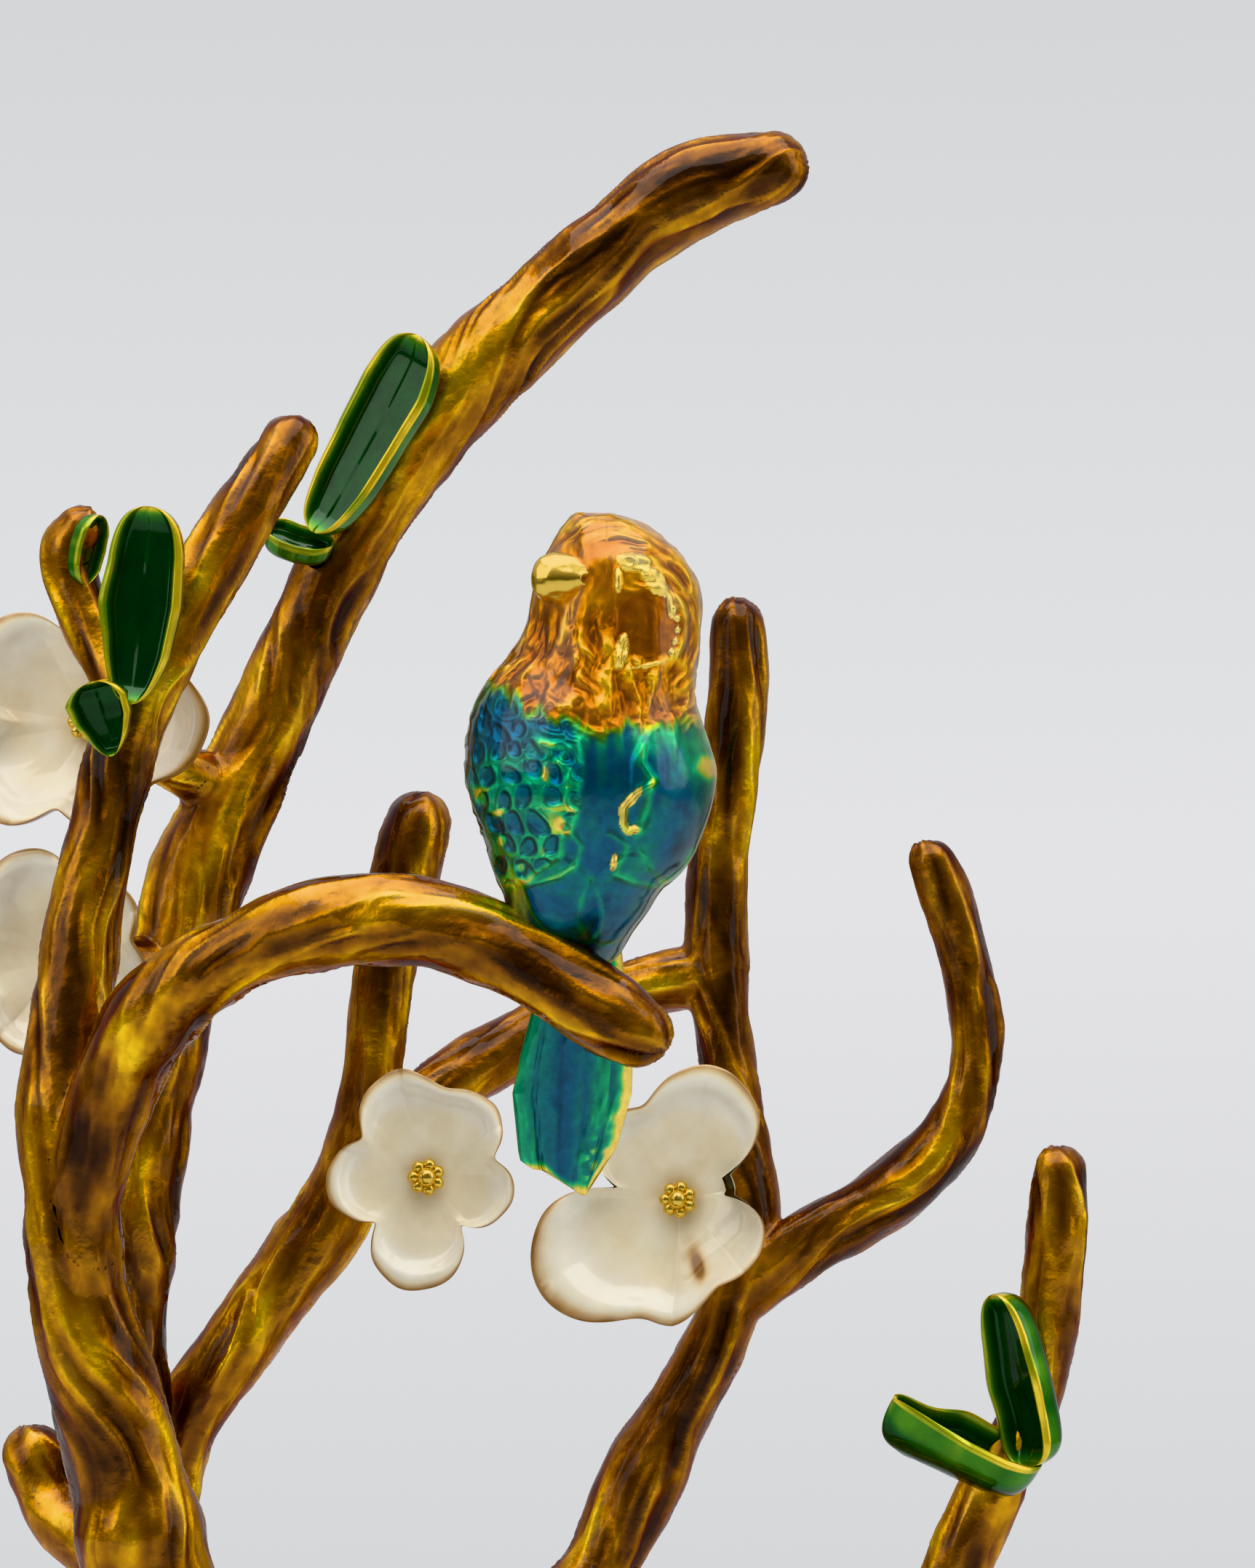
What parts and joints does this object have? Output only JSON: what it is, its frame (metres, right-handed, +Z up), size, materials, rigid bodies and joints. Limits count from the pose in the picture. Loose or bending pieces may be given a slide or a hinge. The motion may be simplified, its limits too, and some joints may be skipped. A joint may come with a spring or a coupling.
{
  "type": "figurine",
  "caption": "Table-top figurine: an enamelled bird perched on a branching metal tree with leaf cups and five-petal blossoms, on an oval mound base.",
  "frame": {"origin": "middle of the underside of the base pad", "axes": "+Z up the tree; +X towards the low right branch; -Y towards the viewer the bird faces"},
  "size_m": [0.0952, 0.0724, 0.1743],
  "materials": {
    "bark_enamel": "translucent brown enamel over gold-plated casting, glossy",
    "leaf_enamel": "translucent green enamel, yellow-green at the rims, glossy",
    "petal_enamel": "opaque cream enamel, tan at the edges, glossy",
    "gilt": "polished gold plate",
    "amber_enamel": "translucent amber enamel, glossy",
    "teal_enamel": "translucent teal to blue enamel, green where thin, glossy",
    "felt": "pressed felt",
    "steel": "plain steel"
  },
  "bodies": {
    "root": {"base_mound": "bark_enamel", "base_pad": "felt", "base_screw": "steel", "base_washer": "steel", "trunk": "bark_enamel", "left_limb": "bark_enamel", "perch_branch": "bark_enamel", "tall_branch": "bark_enamel", "flower_branch": "bark_enamel", "cross_twig": "bark_enamel", "right_stem": "bark_enamel", "right_limb": "bark_enamel", "hook_branch": "bark_enamel", "low_right_branch": "bark_enamel", "stub_branch": "bark_enamel", "curled_twig": "bark_enamel", "spur_upper": "bark_enamel", "spur_lower": "bark_enamel", "leaf_left_large": "leaf_enamel", "leaf_left_small": "leaf_enamel", "leaf_tall_large": "leaf_enamel", "leaf_tall_small": "leaf_enamel", "leaf_low_upper": "leaf_enamel", "leaf_low_lower": "leaf_enamel", "twig_bud": "leaf_enamel", "blossom_middle": "petal_enamel", "blossom_large": "petal_enamel", "blossom_upper": "petal_enamel", "blossom_lower": "petal_enamel", "pin_middle": "gilt", "pin_large": "gilt", "pin_upper": "gilt", "pin_lower": "gilt", "bird_casting": "gilt", "bird_head_enamel": "amber_enamel", "bird_body_enamel": "teal_enamel", "bird_wing_left": "teal_enamel", "bird_wing_right": "teal_enamel", "bird_tail": "teal_enamel"}
  },
  "joints": []
}
